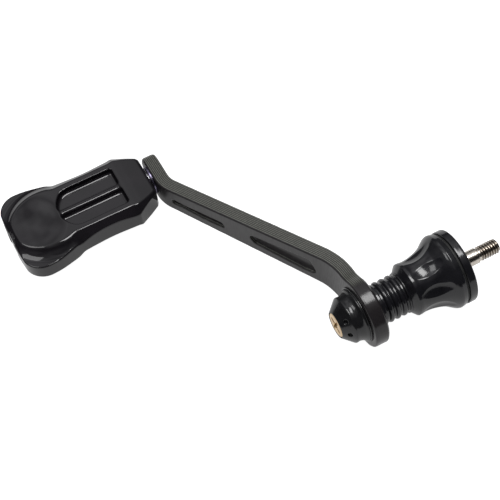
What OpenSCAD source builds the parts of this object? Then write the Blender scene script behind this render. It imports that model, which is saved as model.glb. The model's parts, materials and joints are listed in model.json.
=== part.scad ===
// Screw-in crank handle with a free-spinning paddle knob.
// Millimetres. The origin is the centre of the flange face that seats on the reel. +X runs along
// the crank axis out of the seat face, +Y points from the crank axis to the knob, +Z is up.

/* [Arm] */
// Distance between the crank axis and the knob axis
throw = 70; // [60:1:80]
// Thickness of the arm
arm_t = 4.2; // [3.6:0.1:5]
// How far the knob end stands off from the crank end, along the crank axis
arm_rise = 30.2; // [26:0.1:34]
// Width of the arm at the crank axis
arm_root_w = 14.2; // [12.5:0.1:15]
// Width of the arm at the knob axis
arm_tip_w = 8.4; // [7.4:0.1:9]
// Outer radius of the eye round the crank axis
eye_r = 10.2; // [9.5:0.1:10.8]
// Thickness of the eye
eye_t = 4.5; // [4.3:0.1:5]

/* [Flared collar] */
// Radius of the flange that seats on the reel
seat_r = 11; // [10:0.1:12]
// Distance from the seat face to the arm's eye
seat_to_eye = 27.5; // [26:0.1:30]
// Radius of the collar at its waist
waist_r = 7.7; // [7.2:0.1:8]
// Number of scooped flutes round the flare
flutes = 8; // [6:1:10]
// Radius of the neck's ribs
rib_r = 6.1; // [5.9:0.1:6.4]

/* [Drive stud] */
// Radius of the plain shank that fits the reel's drive bore
shank_r = 2.3; // [2:0.05:2.6]
// Length of the plain shank
shank_len = 6.2; // [5:0.1:8]
// Major radius of the thread
thread_r = 2.2; // [1.9:0.05:2.3]
// Length of the threaded tip
thread_len = 6; // [5:0.1:9]

/* [Knob] */
// Length of the knob along its axis
knob_len = 44; // [43:0.5:50]
// Thickness of the knob between its two faces
knob_t = 9.4; // [9:0.1:12]
// Half width of the knob at its waist
knob_waist = 10.5; // [10:0.1:11]
// Half width of the knob at its shoulder
knob_shoulder = 11.3; // [11:0.1:12]

/* [Hidden] */
$fn = 64;
eps = 0.01;

// Places along the crank axis
seat_ring_t = 2.4;
seal_t = 0.8;
collar_end = -18;
eye_back = -seat_to_eye;
eye_front = eye_back - eye_t;
washer_t = 0.5;
nut_base = eye_front - washer_t;
nut_front = nut_base - 6.6;
body_r = 3.2;
drive_af = 4.4;
stub_r = 2.2;
stub_end = eye_front - 3.2;
screw_r = 1.25;
screw_head_r = 3.7;
screw_head_t = 1.7;

// Bends of the arm, taken on its knob-side face
bend_in_y = 13.8;
bend_out_y = throw - 6.3;
bend_in_r = 17.6;
bend_out_r = 6.9;
arm_tip = throw + 7.8;
slant = atan2(arm_rise, bend_out_y - bend_in_y);
arm_knob_x = eye_front - arm_rise;

// Places along the knob axis
shoulder_len = 1.15;
rivet_flare = 0.8;
arm_back = arm_knob_x + arm_t;
shim_t = 0.35;
bearing_w = 2.5;
axle_r = 2;
knob_face = arm_knob_x - 1;
knob_end = knob_face - knob_len;
bearing_in_x = arm_knob_x - shoulder_len - shim_t;
bearing_out_x = knob_face - 28.6;
axle_end = bearing_out_x - bearing_w - 0.05;

// Miniature 4 x 7 x 2.5 bearing
race_in_r = 2.45;
race_out_r = 3.05;
bearing_r = 3.5;
ball_r = 0.4;
ball_pitch_r = (race_in_r + race_out_r) / 2;
ball_count = 9;
ball_gap = 0.01;

function arc(cx, cy, r, a0, a1, n = 10) =
    [for (i = [0:n]) [cx + r * cos(a0 + (a1 - a0) * i / n), cy + r * sin(a0 + (a1 - a0) * i / n)]];

// A closed outline from its half above the X axis
function both_sides(half) =
    concat(half, [for (i = [len(half) - 1:-1:0]) [half[i][0], -half[i][1]]]);

// Round bar along X
module bar(x0, x1, r) {
    translate([x0, 0, 0]) rotate([0, 90, 0]) cylinder(h = x1 - x0, r = r);
}

// Turned shape about X from points [x, radius]
module turned(pts) {
    rotate([0, 90, 0]) rotate_extrude() polygon([for (p = pts) [p[1], p[0]]]);
}

// Flat washer between x0 and x1
module ring(x0, x1, r_in, r_out) {
    difference() {
        bar(x0, x1, r_out);
        bar(x0 - 1, x1 + 1, r_in);
    }
}

module at_knob() {
    translate([0, throw, 0]) children();
}

// ---- crank side -------------------------------------------------------------------------------

module drive_stud() {
    thread_x = shank_len + 0.8;
    tip = thread_x + thread_len;
    tip_bevel = 0.5;
    color("silver") difference() {
        union() {
            turned([[0, 0], [0, shank_r], [shank_len, shank_r], [shank_len, thread_r - 0.3],
                    [thread_x, thread_r - 0.3], [thread_x, thread_r], [tip - tip_bevel, thread_r],
                    [tip, thread_r - tip_bevel], [tip, 0]]);
            bar(eye_back, 0, body_r);
            translate([eye_front, -drive_af / 2, -drive_af / 2])
                cube([eye_t + eps, drive_af, drive_af]);
            bar(stub_end, eye_front + eps, stub_r);
        }
        bar(stub_end - 1, eye_back, screw_r);
    }
}

module seat_ring() {
    bevel = 0.35;
    color([0.13, 0.13, 0.15]) difference() {
        turned([[-seat_ring_t, 0], [-seat_ring_t, seat_r - bevel], [-seat_ring_t + bevel, seat_r],
                [-bevel, seat_r], [0, seat_r - bevel], [0, 0]]);
        bar(-seat_ring_t - 1, 1, body_r);
    }
}

module seal_ring() {
    color([0.05, 0.05, 0.05]) ring(-seat_ring_t - seal_t, -seat_ring_t, 7.5, seat_r - 0.45);
}

module fluted_collar() {
    flare_x = -4.6;
    flute_r = 9;
    flute_x = -12.9;
    flute_out = waist_r + 8.9;
    flute_turn = 9;
    lip_x = -seat_ring_t - seal_t;
    color([0.13, 0.13, 0.15]) difference() {
        turned([[collar_end, 0], [collar_end, rib_r], [-16.4, waist_r + 0.15], [-15.6, waist_r + 0.15],
                [-14.4, waist_r], [-12.6, waist_r + 0.1], [-11, waist_r + 0.4], [-9.4, waist_r + 0.85],
                [-8, waist_r + 1.45], [-6.7, waist_r + 2.35], [-5.5, seat_r - 0.15],
                [flare_x, seat_r + 0.15], [lip_x, seat_r], [lip_x, 7.5], [-seat_ring_t, 7.5],
                [-seat_ring_t, 0]]);
        bar(collar_end - 1, 0, body_r);
        for (k = [0:flutes - 1])
            rotate([360 * k / flutes + flute_turn, 0, 0])
                translate([flute_x, 0, flute_out]) sphere(r = flute_r, $fn = 96);
    }
}

module ribbed_spacer() {
    valley_r = rib_r - 0.75;
    rib_pitch = 2.1;
    last_rib = -20;
    land_end = -25.7;
    color([0.12, 0.12, 0.14]) difference() {
        union() {
            bar(eye_back, collar_end, valley_r);
            bar(eye_back, land_end, rib_r);
            for (k = [0:2])
                translate([last_rib - k * rib_pitch, 0, 0]) rotate([0, 90, 0])
                    rotate_extrude() translate([valley_r, 0]) circle(r = 0.75, $fn = 24);
            bar(collar_end - 0.5, collar_end, rib_r);
        }
        bar(eye_back - 1, collar_end + 1, body_r);
    }
}

// The arm seen along Z: two bends of equal and opposite angle
module arm_profile() {
    out_front_r = bend_out_r + arm_t;
    cx1 = eye_front - bend_in_r;
    cy1 = bend_in_y - bend_in_r * tan(slant / 2);
    cx2 = arm_knob_x + out_front_r;
    cy2 = bend_out_y + out_front_r * tan(slant / 2);
    polygon(concat(
        [[eye_front, 0]],
        arc(cx1, cy1, bend_in_r, 0, slant),
        arc(cx2, cy2, out_front_r, 180 + slant, 180),
        [[arm_knob_x, arm_tip], [arm_knob_x + arm_t, arm_tip]],
        arc(cx2, cy2, bend_out_r, 180, 180 + slant),
        arc(cx1, cy1, bend_in_r + arm_t, slant, 0),
        [[eye_front + arm_t, 0]]));
}

// The arm seen along X: a tapered blade with a rounded tip, blended into the eye
module arm_plan() {
    corner_r = 2.4;
    tip_half = arm_tip_w / 2 - 0.25;
    blend_r = 6;
    edge_z = arm_root_w / 2 - 0.43;
    blend_y = sqrt(pow(eye_r + blend_r, 2) - pow(edge_z + blend_r, 2));
    meet = atan2(edge_z + blend_r, blend_y);
    polygon(both_sides(concat(
        [[0, eye_r * sin(meet)]],
        arc(blend_y, edge_z + blend_r, blend_r, 180 + meet, 270, 8),
        arc(arm_tip - corner_r, tip_half - corner_r, corner_r, 90, 0))));
}

// Shallow slots on the two broad faces, placed along the slanted stretch
module arm_slots() {
    slot_depth = 1.2;
    translate([eye_front, bend_in_y, 0]) rotate([0, 0, slant])
        for (x = [slot_depth - 10, arm_t - slot_depth])
            translate([x, 0, 0]) rotate([90, 0, 90]) linear_extrude(height = 10) {
                polygon([[5.2, -2.9], [7.6, 3], [25.2, 1.5], [28.6, 1.1], [26.2, -2.1], [9.4, -3.4]]);
                polygon([[35.6, -1.7], [37, 0.8], [53.8, 0.3], [54.6, -0.3], [53.6, -0.9],
                         [43.5, -1.9]]);
            }
}

module crank_arm() {
    bevel = 0.8;
    rivet_r = axle_r + rivet_flare;
    color([0.22, 0.22, 0.23]) difference() {
        union() {
            intersection() {
                translate([0, 0, -eye_r]) linear_extrude(height = 2 * eye_r) arm_profile();
                translate([arm_knob_x - 1, 0, 0]) rotate([90, 0, 90])
                    linear_extrude(height = -arm_knob_x) arm_plan();
            }
            turned([[eye_front, 0], [eye_front, eye_r - bevel], [eye_front + bevel, eye_r],
                    [eye_back - bevel, eye_r], [eye_back, eye_r - bevel], [eye_back, 0]]);
        }
        arm_slots();
        translate([eye_front - 5, -drive_af / 2, -drive_af / 2])
            cube([eye_t + 10, drive_af, drive_af]);
        at_knob() bar(arm_knob_x - 5, arm_knob_x + 10, axle_r);
        at_knob() turned([[arm_back - rivet_flare, 0], [arm_back - rivet_flare, axle_r],
                          [arm_back, rivet_r], [arm_back + 1, rivet_r], [arm_back + 1, 0]]);
    }
}

module nut_washer() {
    color([0.1, 0.1, 0.11]) ring(nut_base, eye_front, stub_r, 8.3);
}

module cap_nut() {
    head_recess = nut_front + screw_head_t;
    dimple_r = 0.75;
    // Two pairs of spanner holes, each pair half a turn apart
    dimple_angles = [31, 75, 211, 255];
    color([0.12, 0.12, 0.13]) difference() {
        turned([[nut_front, 0], [nut_front, 3.95], [nut_front + 0.3, 4.25], [nut_front + 2.9, 6.7],
                [nut_front + 3.2, 6.9], [nut_front + 4.3, 6.85], [nut_front + 5.4, 7.3],
                [nut_front + 6.2, 7.9], [nut_base, 8], [nut_base, 0]]);
        bar(stub_end, nut_base + 1, stub_r);
        bar(nut_front - 1, nut_base, screw_r);
        bar(nut_front - 1, head_recess, screw_head_r + 0.05);
        for (a = dimple_angles)
            rotate([a, 0, 0]) translate([nut_front + 1.65, 0, 5.5]) rotate([0, -45, 0])
                cylinder(h = 1.6, r = dimple_r, center = true);
    }
}

module lock_screw() {
    slot_w = 0.8;
    slot_l = 4.8;
    slot_depth = 0.9;
    color("goldenrod") difference() {
        union() {
            turned([[nut_front, 0], [nut_front, screw_head_r - 0.3], [nut_front + 0.3, screw_head_r],
                    [nut_front + screw_head_t, screw_head_r], [nut_front + screw_head_t, 0]]);
            bar(nut_front + 1, eye_back - 1, screw_r);
        }
        for (a = [0, 90])
            rotate([a + 20, 0, 0]) translate([nut_front - 1, -slot_l / 2, -slot_w / 2])
                cube([1 + slot_depth, slot_l, slot_w]);
    }
}

// ---- knob side --------------------------------------------------------------------------------

module knob_axle() {
    color("silver") at_knob() difference() {
        union() {
            // The rivet fills a countersink in the arm's back
            turned([[arm_back - rivet_flare, 0], [arm_back - rivet_flare, axle_r],
                    [arm_back, axle_r + rivet_flare], [arm_back, 0]]);
            bar(axle_end, arm_back, axle_r);
            bar(arm_knob_x - shoulder_len, arm_knob_x, 3);
        }
        bar(axle_end - 1, axle_end + 8, screw_r);
    }
}

module dust_ring() {
    color([0.45, 0.42, 0.5]) at_knob() ring(arm_knob_x - 0.75, arm_knob_x, 3, 4.3);
}

module shim_washer() {
    color("gainsboro") at_knob() ring(bearing_in_x, bearing_in_x + shim_t, axle_r, 2.9);
}

// Ball groove centred in a bearing whose crank-side face is at x
module ball_groove(x) {
    translate([x - bearing_w / 2, 0, 0]) rotate([0, 90, 0])
        rotate_extrude() translate([ball_pitch_r, 0]) circle(r = ball_r + ball_gap, $fn = 24);
}

module inner_race(x) {
    color("silver") at_knob() difference() {
        ring(x - bearing_w, x, axle_r, race_in_r);
        ball_groove(x);
    }
}

module outer_race(x) {
    color("silver") at_knob() difference() {
        ring(x - bearing_w, x, race_out_r, bearing_r);
        ball_groove(x);
    }
}

module balls(x, r) {
    at_knob() for (k = [0:ball_count - 1])
        rotate([360 * k / ball_count, 0, 0])
            translate([x - bearing_w / 2, 0, ball_pitch_r]) sphere(r = r);
}

module cage(x) {
    cage_w = 1.4;
    mid = x - bearing_w / 2;
    color("peru") difference() {
        at_knob() ring(mid - cage_w / 2, mid + cage_w / 2, ball_pitch_r - 0.17, ball_pitch_r + 0.17);
        balls(x, ball_r + 0.04);
    }
}

module shields(x) {
    shield_t = 0.15;
    color("dimgray") at_knob() for (edge = [x - 0.05, x - bearing_w + 0.05 + shield_t])
        ring(edge - shield_t, edge, race_in_r + 0.07, race_out_r);
}

module retaining_washer() {
    color("silver") at_knob() ring(axle_end - 0.5, axle_end, screw_r, 2.9);
}

module retaining_screw() {
    head_x = axle_end - 0.5;
    color("dimgray") at_knob() difference() {
        union() {
            bar(head_x - 1.3, head_x, 2.3);
            bar(head_x - eps, axle_end + 7, screw_r);
        }
        bar(head_x - 2, head_x - 0.6, 1, $fn = 6);
    }
}

// Knob outline from its neck (u = 0) outwards, mirrored about the knob axis
function knob_half(u) = knob_waist + 0.0125 * pow(u - 16.5, 2);

module knob_outline() {
    corner_r = 6.2;
    side = concat([[0, 6.2], [0.6, 7.2], [7.4, knob_shoulder]],
        [for (u = [10:2.5:knob_len - 14]) [u, knob_half(u)]],
        [[knob_len - 10.5, knob_waist + 3.15], [knob_len - 8.5, knob_waist + 3.42]],
        arc(knob_len - 6.6, knob_waist - 2.7, corner_r, 90, 12, 12),
        [[knob_len - 0.15, 5], [knob_len, 0]]);
    polygon(both_sides(side));
}

module knob_pocket(depth_z) {
    half_w = 6.8;
    round_r = 7.85;
    start_u = 8.6;
    round_u = 20.55;
    rib_w = 2.2;
    rib_top = knob_t / 2 - 0.4;
    difference() {
        translate([0, 0, depth_z]) linear_extrude(height = knob_t) {
            translate([start_u, -half_w]) square([round_u - start_u, 2 * half_w]);
            intersection() {
                translate([round_u, 0]) circle(r = round_r);
                translate([round_u - 1, -half_w]) square([round_r + 2, 2 * half_w]);
            }
        }
        translate([0, -rib_w / 2, 0]) cube([knob_len, rib_w, rib_top]);
    }
}

module knob_body() {
    half_t = knob_t / 2;
    wall_z = half_t - 1.8;
    floor_z = 2.8;
    dish_r = 30;
    dish_depth = 0.7;
    color([0.1, 0.1, 0.11]) at_knob() difference() {
        // u runs away from the arm, so the knob is drawn outwards and turned about Z
        translate([knob_face, 0, 0]) rotate([0, 0, 180]) difference() {
            intersection() {
                translate([0, 0, -half_t]) linear_extrude(height = knob_t) knob_outline();
                rotate([90, 0, 90]) linear_extrude(height = knob_len)
                    polygon(both_sides([[-14.6, wall_z + 0.3], [-10.5, wall_z + 0.2], [-8.6, half_t],
                                        [8.6, half_t], [10.5, wall_z + 0.2], [14.6, wall_z + 0.3]]));
                translate([0, 20, 0]) rotate([90, 0, 0]) linear_extrude(height = 40)
                    polygon(both_sides([[0, half_t - 0.6], [5, half_t], [knob_len - 8, half_t],
                                        [knob_len - 3, half_t - 0.2], [knob_len, half_t - 0.5]]));
            }
            for (q = [0, 180]) rotate([q, 0, 0]) {
                knob_pocket(floor_z);
                translate([36, 0, half_t + dish_r - dish_depth]) sphere(r = dish_r);
            }
        }
        bar(bearing_in_x - bearing_w, knob_face + 1, bearing_r);
        bar(bearing_out_x - 1, knob_face, axle_r + 0.3);
        bar(knob_end - 1, bearing_out_x, bearing_r);
    }
}

module knob_cap() {
    color([0.1, 0.1, 0.11]) at_knob() difference() {
        bar(knob_end + 0.25, knob_end + 5, bearing_r);
        bar(knob_end + 1.6, knob_end + 6, bearing_r - 0.8);
    }
}

drive_stud();
seat_ring();
seal_ring();
fluted_collar();
ribbed_spacer();
crank_arm();
nut_washer();
cap_nut();
lock_screw();
knob_axle();
dust_ring();
shim_washer();
inner_race(bearing_in_x);  // inner_bearing_inner_race
outer_race(bearing_in_x);  // inner_bearing_outer_race
color("silver") balls(bearing_in_x, ball_r);  // inner_bearing_balls
cage(bearing_in_x);  // inner_bearing_cage
shields(bearing_in_x);  // inner_bearing_shields
inner_race(bearing_out_x);  // outer_bearing_inner_race
outer_race(bearing_out_x);  // outer_bearing_outer_race
color("silver") balls(bearing_out_x, ball_r);  // outer_bearing_balls
cage(bearing_out_x);  // outer_bearing_cage
shields(bearing_out_x);  // outer_bearing_shields
retaining_washer();
retaining_screw();
knob_body();
knob_cap();
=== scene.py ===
"""Looks of a screw-in crank handle with a paddle knob: detailed meshes, materials, camera, light.

Lengths inside the shape functions are millimetres in the CAD frame: +X along the crank axis out of
the seat face, +Y from the crank axis to the knob axis, +Z up. Blender objects are in metres.
"""
import json
import math

import bmesh
import bpy
import numpy as np
from mathutils import Matrix, Vector


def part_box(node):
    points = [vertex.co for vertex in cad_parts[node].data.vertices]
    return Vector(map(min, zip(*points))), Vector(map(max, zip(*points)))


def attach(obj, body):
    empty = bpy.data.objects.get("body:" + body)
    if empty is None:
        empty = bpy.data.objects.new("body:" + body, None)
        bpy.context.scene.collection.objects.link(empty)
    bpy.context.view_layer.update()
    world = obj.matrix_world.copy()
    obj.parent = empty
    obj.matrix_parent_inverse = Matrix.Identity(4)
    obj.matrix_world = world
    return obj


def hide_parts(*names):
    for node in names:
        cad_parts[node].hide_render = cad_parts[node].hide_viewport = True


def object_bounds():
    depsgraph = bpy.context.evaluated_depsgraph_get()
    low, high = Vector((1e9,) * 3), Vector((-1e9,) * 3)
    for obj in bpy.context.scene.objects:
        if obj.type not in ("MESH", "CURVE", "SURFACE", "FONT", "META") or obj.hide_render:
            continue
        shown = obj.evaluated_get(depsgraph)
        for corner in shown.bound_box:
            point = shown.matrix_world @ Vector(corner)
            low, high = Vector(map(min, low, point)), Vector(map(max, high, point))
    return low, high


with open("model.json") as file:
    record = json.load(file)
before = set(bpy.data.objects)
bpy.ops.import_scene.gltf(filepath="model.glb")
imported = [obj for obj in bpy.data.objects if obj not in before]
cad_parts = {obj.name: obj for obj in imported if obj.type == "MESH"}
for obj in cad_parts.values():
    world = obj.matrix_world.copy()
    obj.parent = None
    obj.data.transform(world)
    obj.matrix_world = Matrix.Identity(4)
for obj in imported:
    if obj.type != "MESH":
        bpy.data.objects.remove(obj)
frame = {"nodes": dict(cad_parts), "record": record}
cad_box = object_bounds()
nodes = frame["nodes"]
MM = 0.001


def box_mm(node):
    """Low and high corner of a CAD part in millimetres."""
    low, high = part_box(node)
    return low / MM, high / MM


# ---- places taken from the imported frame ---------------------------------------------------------

SEAT_X = box_mm("seat_ring")[1].x
SEAT_R = box_mm("seat_ring")[1].y
RING_BACK = box_mm("seat_ring")[0].x
SEAL_BACK = box_mm("seal_ring")[0].x
SEAL_R = box_mm("seal_ring")[1].y
COLLAR_END = box_mm("fluted_collar")[0].x
FLARE_R = box_mm("fluted_collar")[1].y
EYE_BACK = box_mm("ribbed_spacer")[0].x
RIB_R = box_mm("ribbed_spacer")[1].y
EYE_FRONT = box_mm("nut_washer")[1].x
NUT_BASE = box_mm("nut_washer")[0].x
WASHER_R = box_mm("nut_washer")[1].y
NUT_FRONT = box_mm("cap_nut")[0].x
SCREW_R = box_mm("lock_screw")[1].y
STUD_END, STUD_TIP = box_mm("drive_stud")[0].x, box_mm("drive_stud")[1].x
ARM_KNOB_X, ARM_TIP = box_mm("crank_arm")[0].x, box_mm("crank_arm")[1].y
EYE_R = -box_mm("crank_arm")[0].y
KNOB_FACE, KNOB_END = box_mm("knob_body")[1].x, box_mm("knob_body")[0].x
KNOB_TOP = box_mm("knob_body")[1].z
THROW = (box_mm("knob_body")[0].y + box_mm("knob_body")[1].y) / 2
DUST_BACK, DUST_FRONT = box_mm("dust_ring")[0].x, box_mm("dust_ring")[1].x
DUST_R = box_mm("dust_ring")[1].z
CAP_X = box_mm("knob_cap")[0].x
CAP_R = box_mm("knob_cap")[1].z


# ---- sizes that the boxes don't give ------------------------------------------------------------

STUD_BODY_R = 3.2
STUB_R = 2.2
SQUARE_HALF = 2.2
THREAD_START = 7.0
THREAD_PITCH = 0.8
THREAD_DEPTH = 0.42
SEAL_BORE_R = 7.5
COLLAR_WAIST_R = 7.85
ARM_T = 4.2
EYE_T = EYE_BACK - EYE_FRONT
AXLE_R = 2.0
DIAGONAL = math.sqrt(0.5)


# ---- mesh tools ---------------------------------------------------------------------------------

def make_object(name, points, faces):
    """A smooth-shaded object from points in millimetres."""
    mesh = bpy.data.meshes.new(name)
    mesh.from_pydata((np.asarray(points, float) * MM).tolist(), [], faces)
    mesh.validate()
    mesh.shade_smooth()
    piece = bpy.data.objects.new(name, mesh)
    bpy.context.scene.collection.objects.link(piece)
    return piece


def rounded(points, radius, steps=5):
    """An open outline with each inner corner rounded. radius is one number or one per point."""
    radii = radius if hasattr(radius, "__len__") else [radius] * len(points)
    out = [points[0]]
    for i in range(1, len(points) - 1):
        p = np.array(points[i], float)
        to_last, to_next = np.array(points[i - 1]) - p, np.array(points[i + 1]) - p
        len_last, len_next = np.linalg.norm(to_last), np.linalg.norm(to_next)
        a, b = to_last / len_last, to_next / len_next
        half = math.acos(max(-1, min(1, float(a @ b)))) / 2
        if radii[i] <= 0 or half > 1.55:
            out.append(tuple(p))
            continue
        reach = min(radii[i] / math.tan(half), 0.45 * len_last, 0.45 * len_next)
        r = reach * math.tan(half)
        middle = (a + b) / np.linalg.norm(a + b)
        centre = p + middle * r / math.sin(half)
        start, end = p + a * reach - centre, p + b * reach - centre
        sweep = math.pi - 2 * half
        for k in range(steps + 1):
            f = k / steps
            v = (math.sin((1 - f) * sweep) * start + math.sin(f * sweep) * end) / math.sin(sweep)
            out.append(tuple(centre + v))
    out.append(points[-1])
    return out


def dense(points, step):
    """The same outline with no stretch longer than step."""
    out = [points[0]]
    for a, b in zip(points, points[1:]):
        n = max(1, math.ceil(math.dist(a, b) / step))
        out += [tuple(np.array(a) + (np.array(b) - np.array(a)) * k / n) for k in range(1, n + 1)]
    return out


def smooth_curve(points, steps=6):
    """Catmull-Rom curve through the points."""
    p = [np.array(q, float) for q in points]
    p = [2 * p[0] - p[1]] + p + [2 * p[-1] - p[-2]]
    out = []
    for i in range(1, len(p) - 2):
        for k in range(steps):
            t = k / steps
            out.append(tuple(0.5 * (2 * p[i] + (p[i + 1] - p[i - 1]) * t
                       + (2 * p[i - 1] - 5 * p[i] + 4 * p[i + 1] - p[i + 2]) * t ** 2
                       + (3 * p[i] - p[i - 1] - 3 * p[i + 1] + p[i + 2]) * t ** 3)))
    return out + [tuple(p[-2])]


def turned(name, outline, segments=160, y=0.0, shape=None):
    """Turned piece from a closed outline of (x, radius), or one that starts and ends on the axis.

    shape(x, radius, theta) may change each point's radius."""
    rows = np.array(outline, float)
    solid = rows[0, 1] < 1e-6 and rows[-1, 1] < 1e-6
    ends = rows[[0, -1], 0]
    if solid:
        rows = rows[1:-1]
    elif np.allclose(rows[0], rows[-1]):
        rows = rows[:-1]
    theta = np.linspace(0, 2 * math.pi, segments, endpoint=False)
    x, th = np.meshgrid(rows[:, 0], theta, indexing="ij")
    r = np.repeat(rows[:, 1:2], segments, axis=1)
    if shape:
        r = shape(x, r, th)
    points = np.stack([x, y - r * np.sin(th), r * np.cos(th)], -1).reshape(-1, 3).tolist()
    count = len(rows)
    faces = []
    for i in range(count - 1 if solid else count):
        a, b = i * segments, (i + 1) % count * segments
        for j in range(segments):
            k = (j + 1) % segments
            faces.append((a + j, a + k, b + k, b + j))
    if solid:
        for row, x_end, flip in ((0, ends[0], False), (count - 1, ends[1], True)):
            pole = len(points)
            points.append([x_end, y, 0])
            for j in range(segments):
                k = (j + 1) % segments
                a, b = row * segments + j, row * segments + k
                faces.append((pole, a, b) if flip else (pole, b, a))
    return outward(make_object(name, points, faces))


def outward(piece):
    """Turns a closed piece's faces outwards."""
    bm = bmesh.new()
    bm.from_mesh(piece.data)
    bmesh.ops.recalc_face_normals(bm, faces=bm.faces)
    bm.to_mesh(piece.data)
    bm.free()
    piece.data.shade_smooth()
    return piece


def smax(a, b, k):
    """The larger of a and b, with the corner between them rounded over k."""
    h = np.maximum(k - np.abs(a - b), 0) / k
    return np.maximum(a, b) + h * h * k / 4


def smin(a, b, k):
    return -smax(-a, -b, k)


def smoothstep(low, high, v):
    t = np.clip((v - low) / (high - low), 0, 1)
    return t * t * (3 - 2 * t)


def polygon_distance(x, y, points):
    """Signed distance to a closed polygon, negative inside."""
    p = np.array(points, float)
    best = np.full(np.shape(x), 1e9)
    inside = np.zeros(np.shape(x), bool)
    for (ax, ay), (bx, by) in zip(p, np.roll(p, -1, axis=0)):
        ex, ey = bx - ax, by - ay
        t = np.clip(((x - ax) * ex + (y - ay) * ey) / (ex * ex + ey * ey), 0, 1)
        best = np.minimum(best, (x - ax - t * ex) ** 2 + (y - ay - t * ey) ** 2)
        if ey != 0:
            cross = (ay > y) != (by > y)
            inside ^= cross & (x < (bx - ax) * (y - ay) / ey + ax)
    return np.where(inside, -1, 1) * np.sqrt(best)


def inset(points, by):
    """A closed polygon with its corners moved inwards, anticlockwise or clockwise alike."""
    p = np.array(points, float)
    edge = np.roll(p, -1, axis=0) - p
    edge /= np.linalg.norm(edge, axis=1)[:, None]
    area = np.sum(p[:, 0] * np.roll(p[:, 1], -1) - np.roll(p[:, 0], -1) * p[:, 1])
    normal = np.stack([-edge[:, 1], edge[:, 0]], 1) * math.copysign(1, area)
    last = np.roll(normal, 1, axis=0)
    middle = normal + last
    middle /= np.linalg.norm(middle, axis=1)[:, None]
    return p + middle * (by / np.sum(middle * normal, axis=1))[:, None]


def field_mesh(field, low, high, cell):
    """Closed mesh of the surface where field(a, b, c) is 0 and negative inside, by surface nets.

    Each vertex is then moved onto the surface itself. Returns points and faces."""
    cell = np.array(cell, float)
    axes = [np.arange(lo - 2.5 * c, hi + 2.5 * c, c) for lo, hi, c in zip(low, high, cell)]
    start = np.array([a[0] for a in axes])
    f = field(*np.meshgrid(*axes, indexing="ij"))
    inside = f < 0
    size = np.array(f.shape) - 1
    total = np.zeros((*size, 3))
    hits = np.zeros(size)
    grid = np.indices(f.shape)
    quads = []
    for axis in range(3):
        lo = [slice(None)] * 3
        hi = [slice(None)] * 3
        lo[axis], hi[axis] = slice(None, -1), slice(1, None)
        f0, f1 = f[tuple(lo)], f[tuple(hi)]
        crossed = inside[tuple(lo)] != inside[tuple(hi)]
        where = [grid[k][tuple(lo)].astype(float) for k in range(3)]
        with np.errstate(divide="ignore", invalid="ignore"):
            where[axis] = where[axis] + np.where(crossed, f0 / (f0 - f1), 0)
        others = [k for k in range(3) if k != axis]
        for da in (0, 1):
            for db in (0, 1):
                part = [slice(None)] * 3
                part[others[0]] = slice(da, da + size[others[0]])
                part[others[1]] = slice(db, db + size[others[1]])
                c = crossed[tuple(part)]
                hits += c
                for k in range(3):
                    total[..., k] += np.where(c, where[k][tuple(part)], 0)
        quads.append((axis, others, np.argwhere(crossed), inside[tuple(lo)][crossed]))
    used = hits > 0
    index = np.full(size, -1)
    index[used] = np.arange(used.sum())
    points = start + total[used] / hits[used][:, None] * cell
    faces = []
    for axis, others, edges, starts_inside in quads:
        corner = []
        for da, db in ((0, 0), (1, 0), (1, 1), (0, 1)):
            at = edges.copy()
            at[:, others[0]] -= da
            at[:, others[1]] -= db
            corner.append(index[at[:, 0], at[:, 1], at[:, 2]])
        flip = starts_inside ^ (axis == 1)
        quad = np.stack(corner, 1)
        quad[flip] = quad[flip][:, ::-1]
        faces.append(quad)
    for _ in range(4):
        value, slope = gradient(field, points)
        step = value[:, None] * slope / np.maximum(np.sum(slope ** 2, 1), 0.05)[:, None]
        points = points - np.clip(step, -0.5 * cell, 0.5 * cell)
    return points, np.concatenate(faces)


def gradient(field, points, eps=0.004):
    value = field(*points.T)
    slope = np.zeros_like(points)
    for k in range(3):
        shift = np.zeros(3)
        shift[k] = eps
        slope[:, k] = (field(*(points + shift).T) - field(*(points - shift).T)) / (2 * eps)
    return value, slope


# ---- materials ----------------------------------------------------------------------------------

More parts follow.
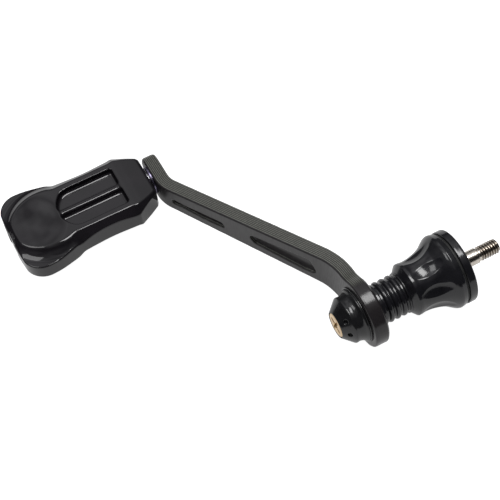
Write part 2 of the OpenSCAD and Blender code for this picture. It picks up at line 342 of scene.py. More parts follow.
class Shader:
    """A Principled material built up from small procedural details."""

    def __init__(self, name, color, roughness, metallic=0.0, ior=1.5, coat=0.0, coat_roughness=0.03):
        self.material = bpy.data.materials.new(name)
        self.material.use_nodes = True
        self.tree = self.material.node_tree
        self.surface = self.tree.nodes["Principled BSDF"]
        self.surface.inputs["Base Color"].default_value = (*color, 1)
        self.surface.inputs["Roughness"].default_value = roughness
        self.surface.inputs["Metallic"].default_value = metallic
        self.surface.inputs["IOR"].default_value = ior
        self.surface.inputs["Coat Weight"].default_value = coat
        self.surface.inputs["Coat Roughness"].default_value = coat_roughness
        self.where = self.node("ShaderNodeTexCoord").outputs["Object"]
        self.last_bump = None

    def node(self, kind, **settings):
        made = self.tree.nodes.new(kind)
        for key, value in settings.items():
            setattr(made, key, value)
        return made

    def link(self, a, b):
        self.tree.links.new(a, b)

    def math(self, operation, a, b=0.5, c=0.0):
        made = self.node("ShaderNodeMath", operation=operation)
        for socket, value in zip(made.inputs, (a, b, c)):
            if isinstance(value, (int, float)):
                socket.default_value = value
            else:
                self.link(value, socket)
        return made.outputs[0]

    def range(self, value, low, high, to_low, to_high):
        """Maps low..high of the value to to_low..to_high, and holds it there beyond."""
        made = self.node("ShaderNodeMapRange")
        self.link(value, made.inputs["Value"])
        made.inputs["From Min"].default_value = low
        made.inputs["From Max"].default_value = high
        made.inputs["To Min"].default_value = to_low
        made.inputs["To Max"].default_value = to_high
        return made.outputs["Result"]

    def noise(self, size_mm, detail=3.0, stretch=(1, 1, 1)):
        """Noise with features of about size_mm, stretched along an axis where stretch is below 1."""
        mapping = self.node("ShaderNodeMapping")
        mapping.inputs["Scale"].default_value = [s / (size_mm * MM) for s in stretch]
        self.link(self.where, mapping.inputs["Vector"])
        made = self.node("ShaderNodeTexNoise")
        made.inputs["Scale"].default_value = 1.0
        made.inputs["Detail"].default_value = detail
        self.link(mapping.outputs["Vector"], made.inputs["Vector"])
        return made.outputs["Fac"]

    def axis(self, name):
        split = self.node("ShaderNodeSeparateXYZ")
        self.link(self.where, split.inputs[0])
        return split.outputs[name]

    def attribute(self, name):
        return self.node("ShaderNodeAttribute", attribute_name=name).outputs["Fac"]

    def waves(self, value, per_unit):
        """A smooth wave from 0 to 1 that repeats per_unit times in one unit of value."""
        turns = self.math("MULTIPLY", value, 2 * math.pi * per_unit)
        return self.math("MULTIPLY_ADD", self.math("SINE", turns), 0.5, 0.5)

    def colors(self, value, *stops):
        """Colour by value: stops are (position, (r, g, b))."""
        ramp = self.node("ShaderNodeValToRGB")
        elements = ramp.color_ramp.elements
        while len(elements) < len(stops):
            elements.new(0.5)
        for element, (position, color) in zip(elements, stops):
            element.position = position
            element.color = (*color, 1)
        self.link(value, ramp.inputs["Fac"])
        self.link(ramp.outputs["Color"], self.surface.inputs["Base Color"])

    def roughness(self, value, low, high):
        """Roughness that wanders between low and high with a noise value."""
        self.link(self.range(value, 0.3, 0.7, low, high), self.surface.inputs["Roughness"])

    def bump(self, height, depth_mm, strength=1.0):
        """Adds relief on top of any that is already there."""
        made = self.node("ShaderNodeBump")
        made.inputs["Strength"].default_value = strength
        made.inputs["Distance"].default_value = depth_mm * MM
        self.link(height, made.inputs["Height"])
        if self.last_bump:
            self.link(self.last_bump, made.inputs["Normal"])
        self.last_bump = made.outputs["Normal"]
        self.link(self.last_bump, self.surface.inputs["Normal"])


def gloss_plastic():
    """High-gloss black moulding: faint flow unevenness and hairline handling marks."""
    s = Shader("knob_gloss_black", (0.011, 0.010, 0.012), 0.07, ior=1.5)
    s.roughness(s.noise(2.5, 4), 0.045, 0.085)
    s.colors(s.noise(9, 2), (0.35, (0.010, 0.009, 0.011)), (0.65, (0.014, 0.012, 0.015)))
    s.bump(s.noise(5.0, 1), 0.006, 0.5)
    s.bump(s.noise(0.5, 3, (0.12, 1, 1)), 0.0006, 0.5)
    return s.material


def anodised(name, color, roughness, pitch_mm=0.11):
    """Turned aluminium, anodised: fine tool lines round the X axis."""
    s = Shader(name, color, roughness, ior=1.55)
    bright = tuple(c * 1.5 + 0.002 for c in color)
    s.colors(s.noise(4, 3), (0.3, color), (0.7, bright))
    s.roughness(s.noise(1.2, 4), roughness * 0.75, roughness * 1.35)
    s.bump(s.waves(s.axis("X"), 1 / (pitch_mm * MM)), 0.0006, 0.35)
    s.bump(s.noise(0.35, 2), 0.0008, 0.3)
    return s.material


def satin_arm():
    """Satin black arm: bead-blasted faces, and edges with milled lines that follow the bends; the edges'
    lighter greenish tone is a painted sheen of light from above.
    """
    s = Shader("arm_satin_black", (0.04, 0.04, 0.038), 0.38, ior=1.46)
    across, edge_lines_and_sheen = s.attribute("across"), s.attribute("edge_lines_and_sheen")
    lines = s.waves(s.math("MULTIPLY_ADD", s.noise(3.0, 2), 0.03, across), 8)
    sharp = s.math("POWER", lines, 4.0)
    grain = s.noise(0.22, 4)
    streak = s.noise(0.5, 3, (1, 1, 0.15))
    blasted = s.range(grain, 0.3, 0.7, 0.02, 0.2)
    # Painted sheen: the edge faces and their milled lines are lifted to a lighter greenish grey that stands
    # in for light falling on them from above.
    tone = s.math("MULTIPLY_ADD", s.math("MULTIPLY", sharp, edge_lines_and_sheen), 0.45, blasted)
    tone = s.math("MULTIPLY_ADD", edge_lines_and_sheen, 0.26, tone)
    s.colors(tone, (0.0, (0.018, 0.016, 0.017)), (0.25, (0.028, 0.025, 0.027)),
             (0.45, (0.036, 0.037, 0.032)), (0.9, (0.24, 0.245, 0.21)))
    mixed = s.math("MULTIPLY_ADD", streak, 0.6, s.math("MULTIPLY", grain, 0.4))
    satin = s.range(mixed, 0.3, 0.7, 0.28, 0.44)
    polish = s.math("MULTIPLY_ADD", s.attribute("gloss"), -0.5, 1.0)
    s.link(s.math("MULTIPLY", satin, polish), s.surface.inputs["Roughness"])
    s.bump(s.math("MULTIPLY", lines, edge_lines_and_sheen), 0.05, 1.0)
    s.bump(grain, 0.004, 0.4)
    return s.material


def metal(name, dark, light, roughness, pitch_mm=0.09, depth=0.0012):
    """Bare or plated turned metal."""
    s = Shader(name, light, roughness, metallic=1.0)
    s.colors(s.noise(1.3, 4, (1, 0.3, 0.3)), (0.3, dark), (0.7, light))
    s.roughness(s.noise(0.6, 3), roughness * 0.7, roughness * 1.4)
    s.bump(s.waves(s.axis("X"), 1 / (pitch_mm * MM)), depth, 0.4)
    s.bump(s.noise(0.15, 2), 0.001, 0.4)
    return s.material


def rubber():
    """Matt black rubber with a grainy skin."""
    s = Shader("seal_rubber_black", (0.012, 0.012, 0.012), 0.6, ior=1.45)
    s.colors(s.noise(0.8, 4), (0.3, (0.008, 0.008, 0.008)), (0.7, (0.018, 0.018, 0.018)))
    s.roughness(s.noise(0.5, 3), 0.5, 0.7)
    s.bump(s.noise(0.2, 3), 0.006, 0.5)
    return s.material


def mauve_ring():
    """Fine ground ring with a faint mauve tint that glints on its edges."""
    s = Shader("ring_mauve_metal", (0.16, 0.15, 0.20), 0.25, metallic=0.9)
    s.colors(s.noise(0.5, 4), (0.35, (0.08, 0.07, 0.11)), (0.7, (0.24, 0.22, 0.31)))
    s.roughness(s.noise(0.4, 3), 0.12, 0.4)
    s.bump(s.noise(0.18, 3), 0.01, 0.6)
    return s.material


def nickel_stud():
    """Warm nickel plate, with painted shade darkening the colour down in the thread's grooves."""
    s = Shader("stud_nickel", (0.6, 0.55, 0.48), 0.2, metallic=1.0)
    angle = s.math("ARCTAN2", s.math("MULTIPLY", s.axis("Y"), -1.0), s.axis("Z"))
    around = s.math("DIVIDE", angle, 2 * math.pi)
    turns = s.math("SUBTRACT", s.math("DIVIDE", s.axis("X"), THREAD_PITCH * MM), around)
    threaded = s.range(s.axis("X"), (THREAD_START - 0.2) * MM, (THREAD_START + 0.4) * MM, 0, 1)
    # Painted shade: the colour turns dark down in each groove of the thread, where shade falls.
    groove = s.math("MULTIPLY", s.waves(s.math("ADD", turns, 0.25), 1.0), threaded)
    plate = s.range(s.noise(0.8, 4, (1, 0.3, 0.3)), 0.3, 0.7, 0.7, 1.0)
    tone = s.math("MULTIPLY_ADD", groove, -0.75, plate)
    s.colors(tone, (0.0, (0.10, 0.085, 0.07)), (0.5, (0.40, 0.35, 0.30)), (1.0, (0.72, 0.67, 0.60)))
    s.roughness(s.noise(0.6, 3), 0.14, 0.3)
    s.bump(s.waves(s.axis("X"), 1 / (0.09 * MM)), 0.0012, 0.4)
    return s.material


MATERIALS = {
    "knob_gloss": gloss_plastic(),
    "collar_black": anodised("collar_gloss_black", (0.009, 0.009, 0.011), 0.13),
    "nut_black": anodised("nut_gloss_black", (0.009, 0.009, 0.010), 0.15, 0.09),
    "arm_satin": satin_arm(),
    "seal_rubber": rubber(),
    "screw_gold": metal("screw_gold_metal", (0.50, 0.33, 0.15), (0.82, 0.60, 0.34), 0.2),
    "stud_steel": nickel_stud(),
    "axle_steel": metal("axle_ground_steel", (0.42, 0.42, 0.43), (0.66, 0.66, 0.67), 0.24),
    "bearing_steel": metal("bearing_polished_steel", (0.62, 0.62, 0.64), (0.80, 0.80, 0.82), 0.1),
    "cage_brass": metal("cage_pressed_brass", (0.55, 0.36, 0.14), (0.78, 0.58, 0.30), 0.28),
    "shield_steel": metal("shield_sheet_steel", (0.40, 0.40, 0.41), (0.60, 0.60, 0.61), 0.3),
    "ring_mauve": mauve_ring(),
}


def finish_piece(piece, body, slot, *replaced):
    """Gives a piece its material and its place in the frame."""
    piece.data.materials.append(MATERIALS[slot])
    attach(piece, body)
    if replaced:
        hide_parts(*replaced)
    return piece


# ---- crank side ---------------------------------------------------------------------------------

def seat_flange():
    """Flat ring that seats on the reel, with its rim's corners eased."""
    bore = STUD_BODY_R
    outline = rounded([(RING_BACK, bore), (RING_BACK, SEAT_R), (SEAT_X, SEAT_R), (SEAT_X, bore)],
                      [0, 0.3, 0.4, 0])
    return turned("seat_flange", dense(outline + [(RING_BACK, bore)], 0.5), 224)


def seal_lip():
    """Rubber ring recessed between the flange and the flare."""
    bore = SEAL_BORE_R
    outline = rounded([(SEAL_BACK, bore), (SEAL_BACK, SEAL_R), (RING_BACK, SEAL_R), (RING_BACK, bore)], 0.2)
    return turned("seal_lip", dense(outline + [(SEAL_BACK, bore)], 0.4), 192)


FLUTES = 8
FLUTE_R = 9.0
FLUTE_X = -12.9
FLUTE_OUT = 16.45
FLUTE_TURN = math.radians(9)


def fluted(x, r, theta):
    """Scoops cut round the flare by balls of radius FLUTE_R."""
    pitch = 2 * math.pi / FLUTES
    off = (theta - FLUTE_TURN + pitch / 2) % pitch - pitch / 2
    along = x - FLUTE_X
    reach = FLUTE_OUT * np.cos(off)
    inside = reach ** 2 - (FLUTE_OUT ** 2 + along ** 2 - FLUTE_R ** 2)
    scoop = np.where(inside > 0, reach - np.sqrt(np.maximum(inside, 0)), 99.0)
    return np.where(r > STUD_BODY_R + 1, smin(r, scoop, 0.08), r)


def flared_collar():
    """Collar that flares out to the flange, with flutes scooped into its waist."""
    shoulder, waist = (-16.4, COLLAR_WAIST_R), (-15.6, COLLAR_WAIST_R)
    flare = smooth_curve([waist, (-14.4, 7.7), (-12.6, 7.8), (-11.0, 8.1), (-9.4, 8.55), (-8.0, 9.15),
                          (-6.7, 10.05), (-5.5, 10.85), (-4.7, FLARE_R)], 8)
    back = rounded([(COLLAR_END, STUD_BODY_R), (COLLAR_END, RIB_R), shoulder, waist], 0.25)
    front = rounded([flare[-2], (-4.6, FLARE_R), (SEAL_BACK, FLARE_R - 0.2), (SEAL_BACK, SEAL_BORE_R),
                     (RING_BACK, SEAL_BORE_R), (RING_BACK, STUD_BODY_R)], [0, 0.35, 0.25, 0, 0, 0])
    outline = back + flare[1:-2] + front + [(COLLAR_END, STUD_BODY_R)]
    return turned("flared_collar", dense(outline, 0.22), 512, shape=fluted)


def ribbed_neck():
    """Spacer with a plain land next to the arm and three round ribs."""
    rib = 0.75
    valley = RIB_R - rib
    land_end, crests = -25.7, (-24.2, -22.1, -20.0)
    outline = [(EYE_BACK, STUD_BODY_R), (EYE_BACK, RIB_R)]
    outline += rounded([(EYE_BACK + 0.1, RIB_R), (land_end, RIB_R), (land_end, valley),
                        (land_end + 0.3, valley)], 0.25)
    for crest in crests:
        for k in range(13):
            a = math.pi * k / 12
            outline.append((crest - rib * math.cos(a), valley + rib * math.sin(a)))
    outline += [(COLLAR_END - 0.5, valley), (COLLAR_END - 0.5, RIB_R), (COLLAR_END, RIB_R),
                (COLLAR_END, STUD_BODY_R), (EYE_BACK, STUD_BODY_R)]
    return turned("ribbed_neck", dense(outline, 0.3), 160)


def stud_outline():
    """Stub for the nut, square drive, body in the collar, plain shank, groove and threaded tip."""
    groove_r = 1.9
    shank_r, shank_end = 2.3, 6.2
    outline = rounded([(STUD_END, 0), (STUD_END, STUB_R), (EYE_FRONT, STUB_R), (EYE_BACK, STUB_R),
                       (EYE_BACK, STUD_BODY_R), (SEAT_X, STUD_BODY_R), (SEAT_X, shank_r),
                       (shank_end, shank_r), (shank_end + 0.15, groove_r), (THREAD_START, groove_r),
                       (THREAD_START + 0.1, STUB_R), (STUD_TIP - 0.5, STUB_R), (STUD_TIP, STUB_R - 0.5),
                       (STUD_TIP, 0)], [0, 0.2, 0, 0, 0, 0, 0, 0.15, 0.1, 0.1, 0.05, 0.1, 0.15, 0], 3)
    return dense(outline, 0.05)


def threaded(x, r, theta):
    """Cuts the helical thread at the tip, and squares the stud inside the arm's eye."""
    turn = (x / THREAD_PITCH - theta / (2 * math.pi)) % 1
    groove = THREAD_DEPTH * smoothstep(0.12, 0.88, 1 - np.abs(2 * turn - 1))
    fade = smoothstep(THREAD_START - 0.1, THREAD_START + 0.5, x)
    r = np.where((x > THREAD_START - 0.2) & (r > 0.8), r - groove * fade, r)
    side = SQUARE_HALF / np.maximum(np.abs(np.cos(theta)), np.abs(np.sin(theta)))
    in_arm = (x > EYE_FRONT + 0.01) & (x < EYE_BACK - 0.01)
    return np.where(in_arm, side, r)


def threaded_stud():
    """Nickel-plated stud that carries the whole crank side."""
    return turned("threaded_stud", stud_outline(), 96, shape=threaded)


NUT_NOSE = [(0, 3.75), (0, 3.95), (0.3, 4.25), (2.9, 6.7)]
NUT_BAND = [(3.2, 6.9), (4.4, 6.83), (5.5, 7.2), (6.2, 7.85)]
NUT_RIM = (6.6, 8.0)
SCREW_SEAT = 1.7
DIMPLE_ANGLES = (31, 75, 211, 255)
DIMPLE_X, DIMPLE_OUT = 1.65, 5.5
DIMPLE_R, DIMPLE_DEPTH = 0.72, 0.7


def nut_cap():
    """Conical nut with a hollowed band round it and blind spanner holes in its cone."""
    outer = rounded(NUT_NOSE + smooth_curve(NUT_BAND, 8) + [NUT_RIM], 0.2)
    inner = [(NUT_RIM[0], STUB_R), (SCREW_SEAT, STUB_R), (SCREW_SEAT, NUT_NOSE[0][1])]
    outline = [(x + NUT_FRONT, r) for x, r in outer + inner]

    def field(x, y, z):
        r = np.hypot(y, z)
        shell = polygon_distance(x, r, outline)
        for angle in DIMPLE_ANGLES:
            a = math.radians(angle)
            out = y * -math.sin(a) + z * math.cos(a)
            side = y * math.cos(a) + z * math.sin(a)
            along_x, along_r = x - (NUT_FRONT + DIMPLE_X), out - DIMPLE_OUT
            normal = (along_r - along_x) * DIAGONAL
            tangent = (along_r + along_x) * DIAGONAL
            hole = smax(np.hypot(side, tangent) - DIMPLE_R, -normal - DIMPLE_DEPTH, 0.3)
            hole = np.maximum(hole, -out)
            shell = smax(shell, -hole, 0.15)
        return shell
    points, faces = field_mesh(field, (NUT_FRONT, -8, -8), (NUT_BASE, 8, 8), (0.13, 0.14, 0.14))
    return outward(make_object("nut_cap", points, faces.tolist()))


def nut_skirt_washer():
    """Thin washer between the nut and the arm's eye."""
    outline = rounded([(NUT_BASE, STUB_R), (NUT_BASE, WASHER_R), (EYE_FRONT, WASHER_R),
                       (EYE_FRONT, STUB_R)], 0.15)
    return turned("nut_skirt_washer", dense(outline + [(NUT_BASE, STUB_R)], 0.4), 160)


def gold_lock_screw():
    """Cross-slot head with a rounded rim, on a shank that runs into the stud."""
    shank_r, shank_end, head_t = 1.25, EYE_BACK - 1, 1.7
    slot_half, slot_reach, slot_depth, slot_core_r = 0.42, 2.5, 0.95, 1.0
    turn = math.radians(20)

    def field(x, y, z):
        r = np.hypot(y, z)
        head = smax(r - SCREW_R, smax(NUT_FRONT - x, x - NUT_FRONT - head_t, 0.1), 0.5)
        shank = np.maximum(r - shank_r, np.maximum(NUT_FRONT + 1 - x, x - shank_end))
        a = y * math.cos(turn) + z * math.sin(turn)
        b = z * math.cos(turn) - y * math.sin(turn)
        depth = x - NUT_FRONT - slot_depth
        taper = 0.22 * np.maximum(depth + slot_depth, 0)
        half, reach = slot_half - taper * 0.3, slot_reach - taper * 2
        slot = np.minimum(np.maximum(np.abs(a) - half, np.abs(b) - reach),
                          np.maximum(np.abs(b) - half, np.abs(a) - reach))
        slot = smin(slot, np.hypot(a, b) - slot_core_r + taper, 0.2)
        return smax(np.minimum(head, shank), -smax(slot, depth, 0.2), 0.12)
    low, high = (NUT_FRONT, -SCREW_R, -SCREW_R), (shank_end, SCREW_R, SCREW_R)
    points, faces = field_mesh(field, low, high, (0.1, 0.09, 0.09))
    return outward(make_object("gold_lock_screw", points, faces.tolist()))


# ---- arm ----------------------------------------------------------------------------------------

BEND_IN_Y, BEND_OUT_Y = 13.8, THROW - 6.3
BEND_IN_R, BEND_OUT_R = 17.6, 6.9
SLANT = math.atan2(EYE_FRONT - ARM_KNOB_X, BEND_OUT_Y - BEND_IN_Y)
MID_IN, MID_OUT = BEND_IN_R + ARM_T / 2, BEND_OUT_R + ARM_T / 2
IN_CENTRE = (EYE_FRONT - BEND_IN_R, BEND_IN_Y - BEND_IN_R * math.tan(SLANT / 2))
OUT_FRONT_R = BEND_OUT_R + ARM_T
OUT_CENTRE = (ARM_KNOB_X + OUT_FRONT_R, BEND_OUT_Y + OUT_FRONT_R * math.tan(SLANT / 2))
S_BEND_IN = IN_CENTRE[1]
S_SLANT = S_BEND_IN + MID_IN * SLANT
SLANT_START = (IN_CENTRE[0] + BEND_IN_R * math.cos(SLANT), IN_CENTRE[1] + BEND_IN_R * math.sin(SLANT))
SLANT_END = (OUT_CENTRE[0] - OUT_FRONT_R * math.cos(SLANT), OUT_CENTRE[1] - OUT_FRONT_R * math.sin(SLANT))
S_BEND_OUT = S_SLANT + math.dist(SLANT_START, SLANT_END)
S_STRAIGHT = S_BEND_OUT + MID_OUT * SLANT
S_TIP = S_STRAIGHT + ARM_TIP - OUT_CENTRE[1]
S_KNOB = S_STRAIGHT + THROW - OUT_CENTRE[1]


def bent(s, t):
    """Place in the XY plane of a point s along the arm and t deep from its front face."""
    a = np.clip((s - S_BEND_IN) / MID_IN, 0, SLANT)
    b = np.clip((s - S_BEND_OUT) / MID_OUT, 0, SLANT)
    straight = np.clip(s - S_SLANT, 0, S_BEND_OUT - S_SLANT)
    x = IN_CENTRE[0] + (BEND_IN_R + t) * np.cos(a) - straight * math.sin(SLANT)
    y = IN_CENTRE[1] + (BEND_IN_R + t) * np.sin(a) + straight * math.cos(SLANT) + np.minimum(s - S_BEND_IN, 0)
    turned_back = SLANT - b
    x = x + np.where(b > 0, (OUT_FRONT_R - t) * (math.cos(SLANT) - np.cos(turned_back)), 0)
    y = y + np.where(b > 0, (OUT_FRONT_R - t) * (math.sin(SLANT) - np.sin(turned_back)), 0)
    return x, y + np.maximum(s - S_STRAIGHT, 0)


SLOT_DEPTH = 1.2
BLADE_ROOT, BLADE_TIP = 6.67, 3.95
BLADE_ROOT_Y, BLADE_TIP_Y = 10.3, ARM_TIP - 2.4
EDGE_BEVEL, EYE_BEVEL = 0.32, 0.8
RIVET_FLARE = 0.8
LONG_SLOT = [(5.2, -2.9), (7.6, 3.0), (25.2, 1.5), (28.6, 1.1), (26.2, -2.1), (9.4, -3.4)]
SHORT_SLOT = [(35.6, -1.7), (37.0, 0.8), (53.8, 0.3), (54.6, -0.3), (53.6, -0.9), (43.5, -1.9)]


def arm_field(s, t, z):
    """The unbent arm: s along it, t through it from the front face, z across it."""
    y = bent(s, ARM_T / 2)[1]
    half = BLADE_ROOT + (y - BLADE_ROOT_Y) * (BLADE_TIP - BLADE_ROOT) / (BLADE_TIP_Y - BLADE_ROOT_Y)
    blade = smax(np.abs(z) - half, s - S_TIP, 5.0)
    blade = np.maximum(blade, -s)
    eye = np.hypot(s, z) - EYE_R
    plan = smin(blade, eye, 1.8)
    faces = np.abs(t - ARM_T / 2) - ARM_T / 2
    edge = 0.35 + 0.9 * smoothstep(S_TIP - 3, S_TIP, s)
    body = np.maximum(smax(plan, faces, edge), (plan + faces + EDGE_BEVEL) * DIAGONAL)
    boss = np.abs(t - EYE_T / 2) - EYE_T / 2
    boss = np.maximum(smax(eye, boss, 0.2), (eye + boss + EYE_BEVEL) * DIAGONAL)
    body = smin(body, boss, 0.15)
    corner = S_SLANT - (BEND_IN_R * math.tan(SLANT / 2))
    for outline, rounding in ((LONG_SLOT, 1.3), (SHORT_SLOT, 0.85)):
        around = polygon_distance(s - corner, z, inset(outline, rounding)) - rounding
        for depth in (t - SLOT_DEPTH, ARM_T - SLOT_DEPTH - t):
            body = smax(body, -smax(around, depth, 0.9), 0.25)
    square = np.maximum(np.abs(s), np.abs(z)) - SQUARE_HALF
    from_axle = np.hypot(s - S_KNOB, z) - AXLE_R
    hole = np.minimum(from_axle, (from_axle - RIVET_FLARE + ARM_T - t) * DIAGONAL)
    return np.maximum(np.maximum(body, -square), -hole)


def cranked_arm():
    """The bent arm. across, strip and gloss tell its material the depth, the edges and the eye."""
    low, high = (-EYE_R, 0, -EYE_R), (S_TIP, EYE_T, EYE_R)
    points, faces = field_mesh(arm_field, low, high, (0.26, 0.16, 0.2))
    slope = gradient(arm_field, points)[1]
    slope /= np.maximum(np.linalg.norm(slope, axis=1), 1e-6)[:, None]
    x, y = bent(points[:, 0], points[:, 1])
    arm = make_object("cranked_arm", np.stack([x, y, points[:, 2]], 1), faces.tolist())
    gloss = 1 - smoothstep(1.0, 5.0, points[:, 0])
    # The edge mask carries the real milled lines and the painted sheen, and fades out on the eye.
    edge_lines_and_sheen = smoothstep(0.75, 0.95, np.hypot(slope[:, 2], slope[:, 0])) * (1 - gloss)
    for name, values in (("across", points[:, 1] / ARM_T), ("edge_lines_and_sheen", edge_lines_and_sheen), ("gloss", gloss)):
        layer = arm.data.attributes.new(name, "FLOAT", "POINT")
        layer.data.foreach_set("value", values.astype(np.float32))
    return outward(arm)


# ---- knob ---------------------------------------------------------------------------------------

KNOB_LEN = KNOB_FACE - KNOB_END
BEARING_R = box_mm("inner_bearing_outer_race")[1].z
INNER_SEAT = KNOB_FACE - box_mm("inner_bearing_outer_race")[0].x
OUTER_SEAT = KNOB_FACE - box_mm("outer_bearing_outer_race")[1].x
AXLE_BORE = 2.3
NECK, SHOULDER = (0.6, 7.2), (7.4, 11.3)
WAIST, WAIST_U = 10.5, 16.5
WAIST_CURVE = 0.0125
CORNER_R = 6.2


def knob_outline():
    """Half outline of the knob: u from the neck outwards, w from its axis, then mirrored."""
    half = [(0, NECK[1] - 1), NECK, SHOULDER]
    half += [(u, WAIST + WAIST_CURVE * (u - WAIST_U) ** 2) for u in np.arange(10.0, KNOB_LEN - 13.5, 1.5)]
    half += [(KNOB_LEN - 12, WAIST + 2.8), (KNOB_LEN - 10.5, WAIST + 3.15), (KNOB_LEN - 8.5, WAIST + 3.42)]
    for a in np.linspace(math.pi / 2, math.radians(12), 18):
        half.append((KNOB_LEN - 6.6 + CORNER_R * math.cos(a), WAIST - 2.7 + CORNER_R * math.sin(a)))
    half += [(KNOB_LEN - 0.15, 5.0), (KNOB_LEN, 0)]
    return half + [(u, -w) for u, w in half[-2::-1]]


PLAN_ROUNDING = 0.8
PLAN = inset(knob_outline(), PLAN_ROUNDING)
POCKET_START, POCKET_HALF, POCKET_FLOOR = 8.6, 6.8, 2.8
POCKET_ROUND_U, POCKET_ROUND_R = 20.55, 7.85
RIB_TOP = KNOB_TOP - 0.4
RIB_HALF = 1.0
NECK_BEVEL, WAIST_BEVEL_W, BEVEL_SLOPE = 1.4, 8.6, 0.85
SCOOP_U, SCOOP_W, SCOOP_R = 31.5, -2.0, 11.75
SCOOP_REACH, SCOOP_DEPTH = 4.4, 2.15
DISH_U, DISH_DEPTH = 36.0, 0.9


def knob_top(u, w, out):
    """Height of the knob's face above its middle plane. out is the distance from the outline."""
    side = np.abs(w)
    face = KNOB_TOP - 0.1 * smax(7.0 - u, 0 * u, 2.0)
    dish = KNOB_TOP - DISH_DEPTH + (u - DISH_U) ** 2 / 72 + side ** 2 / 90
    face = smin(face, dish, 0.4)
    # Bevel along the neck and the waist, then a hollowed scoop at each corner
    past_neck, past_waist = smoothstep(4, 9, u), smoothstep(25.5, 28.5, u)
    corner = np.hypot(u - SCOOP_U, side - SCOOP_W) - SCOOP_R
    beyond = (out + NECK_BEVEL) * (1 - past_neck) + (side - WAIST_BEVEL_W) * past_neck
    beyond = beyond * (1 - past_waist) + corner * past_waist
    bevel = KNOB_TOP - BEVEL_SLOPE * beyond
    left = np.clip(1 - beyond / SCOOP_REACH, 0, 1.4)
    scoop = KNOB_TOP - SCOOP_DEPTH * (1 - left ** 1.9)
    edge = bevel * (1 - past_waist) + scoop * past_waist
    rim = 3.0 + 0.6 * (1 - smoothstep(2, 7, u)) - 0.4 * smoothstep(26, 34, u) - 0.95 * out
    return smin(smin(face, edge, 0.25 + 0.35 * past_waist), rim, 0.3)


def knob_pocket(u, w, z):
    """Ribbed pocket in one face, negative inside it."""
    side = np.abs(w)
    round_end = np.where(u > POCKET_ROUND_U, np.hypot(u - POCKET_ROUND_U, w) - POCKET_ROUND_R, -9.0)
    around = smax(smax(side - POCKET_HALF, POCKET_START - u, 1.2), round_end, 1.0)
    pocket = smax(around, POCKET_FLOOR - 0.15 - z, 1.1)
    rib = smax(side - RIB_HALF, z - RIB_TOP, 0.9)
    return smax(pocket, -rib, 1.1)


def knob_field(u, w, z):
    """The knob with its pockets, its axle bore and its two bearing seats."""
    z = np.abs(z)
    out = polygon_distance(u, w, PLAN) - PLAN_ROUNDING
    body = smax(out, z - knob_top(u, w, out), 0.35)
    body = smax(body, -knob_pocket(u, w, z), 0.3)
    r = np.hypot(w, z)
    seats = np.maximum(r - BEARING_R, np.minimum(u - INNER_SEAT, OUTER_SEAT - u))
    return np.maximum(body, -np.minimum(r - AXLE_BORE, seats))


def paddle_knob():
    """The knob's moulding, placed on its axis."""
    low, high = (0, -15, -KNOB_TOP), (KNOB_LEN, 15, KNOB_TOP)
    points, faces = field_mesh(knob_field, low, high, (0.24, 0.22, 0.2))
    place = np.stack([KNOB_FACE - points[:, 0], THROW - points[:, 1], points[:, 2]], 1)
    return outward(make_object("paddle_knob", place, faces.tolist()))


def knob_end_plug():
    """Cup-shaped plug over the screw in the knob's outer end."""
    floor_x, end, inner = CAP_X + 1.35, CAP_X + 4.75, CAP_R - 0.8
    outline = rounded([(CAP_X, 0), (CAP_X, CAP_R), (end, CAP_R), (end, inner), (floor_x, inner),
                       (floor_x, 0)], [0, 0.3, 0.1, 0.1, 0.1, 0])
    return turned("knob_end_plug", dense(outline, 0.4), 128, y=THROW)


def dust_collar():
    """Small ring that covers the gap between the arm and the knob."""
    bore = 3.0
    outline = rounded([(DUST_BACK, bore), (DUST_BACK, DUST_R), (DUST_FRONT, DUST_R),
                       (DUST_FRONT, bore)], 0.22)
    return turned("dust_collar", dense(outline + [(DUST_BACK, bore)], 0.3), 128, y=THROW)


def build_pieces():
    """Every visible piece, then materials for the CAD parts that stay as they are."""
    finish_piece(seat_flange(), "crank", "collar_black", "seat_ring")
    finish_piece(seal_lip(), "crank", "seal_rubber", "seal_ring")
    finish_piece(flared_collar(), "crank", "collar_black", "fluted_collar")
    finish_piece(ribbed_neck(), "crank", "collar_black", "ribbed_spacer")
    finish_piece(threaded_stud(), "crank", "stud_steel", "drive_stud")
    finish_piece(nut_cap(), "crank", "nut_black", "cap_nut")
    finish_piece(nut_skirt_washer(), "crank", "nut_black", "nut_washer")
    finish_piece(gold_lock_screw(), "crank", "screw_gold", "lock_screw")
    finish_piece(cranked_arm(), "crank", "arm_satin", "crank_arm")
    finish_piece(dust_collar(), "crank", "ring_mauve", "dust_ring")
    finish_piece(paddle_knob(), "knob", "knob_gloss", "knob_body")
    finish_piece(knob_end_plug(), "knob", "knob_gloss", "knob_cap")
    slot_of = {row["node"]: row["material_slot"] for row in frame["record"]["subparts"]}
    for name, node in nodes.items():
        if not node.hide_render:
            node.data.materials.clear()
            node.data.materials.append(MATERIALS[slot_of[name]])


# ---- floor, light and camera --------------------------------------------------------------------

def pale_floor():
    """White floor that reflects as a mid grey."""
    reach = 3.0
    level = cad_box[0].z - 0.0002
    mesh = bpy.data.meshes.new("floor")
    corners = ((-reach, -reach), (reach, -reach), (reach, reach), (-reach, reach))
    mesh.from_pydata([(x, y, level) for x, y in corners], [], [(0, 1, 2, 3)])
    floor = bpy.data.objects.new("floor", mesh)
    bpy.context.scene.collection.objects.link(floor)
    s = Shader("floor_white", (0.9, 0.9, 0.9), 0.6)
    s.colors(s.noise(400, 2), (0.3, (0.36, 0.36, 0.36)), (0.7, (0.40, 0.40, 0.40)))
    s.surface.inputs["Emission Color"].default_value = (1, 1, 1, 1)
    seen = s.node("ShaderNodeLightPath").outputs["Is Camera Ray"]
    s.link(s.range(seen, 0, 1, 0.5, 1.0), s.surface.inputs["Emission Strength"])
    mesh.materials.append(s.material)


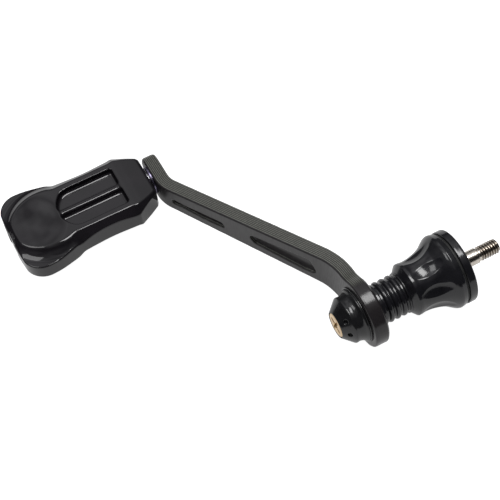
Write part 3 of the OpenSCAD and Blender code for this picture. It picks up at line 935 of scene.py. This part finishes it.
def studio_world():
    """Dim round the horizon and bright above and behind the object, pale where the camera looks."""
    world = bpy.data.worlds.new("studio")
    bpy.context.scene.world = world
    world.use_nodes = True
    tree = world.node_tree
    background = tree.nodes["Background"]
    where = tree.nodes.new("ShaderNodeTexCoord").outputs["Generated"]
    dot = tree.nodes.new("ShaderNodeVectorMath")
    dot.operation = "DOT_PRODUCT"
    dot.inputs[1].default_value = (0, 0.35, 0.8)
    tree.links.new(where, dot.inputs[0])
    ramp = tree.nodes.new("ShaderNodeValToRGB")
    stops = ((0.0, 0.02), (0.40, 0.03), (0.65, 0.32), (0.84, 1.0), (1.0, 1.1))
    while len(ramp.color_ramp.elements) < len(stops):
        ramp.color_ramp.elements.new(0.5)
    for element, (position, level) in zip(ramp.color_ramp.elements, stops):
        element.position = position
        element.color = (level, level, level * 1.02, 1)
    tree.links.new(dot.outputs["Value"], ramp.inputs["Fac"])
    clouds = tree.nodes.new("ShaderNodeTexNoise")
    clouds.inputs["Scale"].default_value = 2.6
    clouds.inputs["Detail"].default_value = 2.0
    tree.links.new(where, clouds.inputs["Vector"])
    patchy = tree.nodes.new("ShaderNodeMapRange")
    for key, number in (("From Min", 0.38), ("From Max", 0.62), ("To Min", 0.35), ("To Max", 1.15)):
        patchy.inputs[key].default_value = number
    tree.links.new(clouds.outputs["Fac"], patchy.inputs["Value"])
    tree.links.new(patchy.outputs["Result"], background.inputs["Strength"])
    camera_ray = tree.nodes.new("ShaderNodeLightPath").outputs["Is Camera Ray"]
    pick = tree.nodes.new("ShaderNodeMixRGB")
    pick.inputs["Color2"].default_value = (0.95, 0.95, 0.95, 1)
    tree.links.new(camera_ray, pick.inputs["Fac"])
    tree.links.new(ramp.outputs["Color"], pick.inputs["Color1"])
    tree.links.new(pick.outputs["Color"], background.inputs["Color"])


def softbox(name, place, target, width, height, power):
    """Rectangular soft light at a place, turned to face the target."""
    light = bpy.data.lights.new(name, "AREA")
    light.shape = "RECTANGLE"
    light.size, light.size_y = width, height
    light.energy = power
    lamp = bpy.data.objects.new(name, light)
    lamp.location = place
    lamp.rotation_euler = (Vector(target) - Vector(place)).to_track_quat("-Z", "Y").to_euler()
    bpy.context.scene.collection.objects.link(lamp)


def product_camera():
    """Camera above the object's near side, turned and rolled a little."""
    azimuth, elevation, roll = (math.radians(a) for a in (21.28, 57.57, 7.42))
    ca, sa = math.cos(azimuth), math.sin(azimuth)
    ce, se = math.cos(elevation), math.sin(elevation)
    cr, sr = math.cos(roll), math.sin(roll)
    turn = Matrix(((ca, -sa, 0), (sa, ca, 0), (0, 0, 1)))
    tilt = Matrix(((1, 0, 0), (0, se, ce), (0, -ce, se)))
    twist = Matrix(((cr, -sr, 0), (sr, cr, 0), (0, 0, 1)))
    data = bpy.data.cameras.new("camera")
    data.lens, data.sensor_width = 99.16, 36
    data.clip_start, data.clip_end = 0.01, 20
    camera = bpy.data.objects.new("camera", data)
    place = Matrix.Translation((-0.12473, -0.16302, 0.33198))
    camera.matrix_world = place @ (twist @ tilt @ turn).transposed().to_4x4()
    bpy.context.scene.collection.objects.link(camera)
    bpy.context.scene.camera = camera


build_pieces()
pale_floor()
studio_world()
softbox("overhead", (0.13, 0.08, 0.86), (-0.05, 0.03, 0), 0.42, 0.30, 3.8)
softbox("fill", (-0.42, 0.18, 0.82), (-0.08, 0.05, 0), 0.34, 0.30, 1.1)
product_camera()
bpy.context.scene.view_settings.view_transform = "Standard"
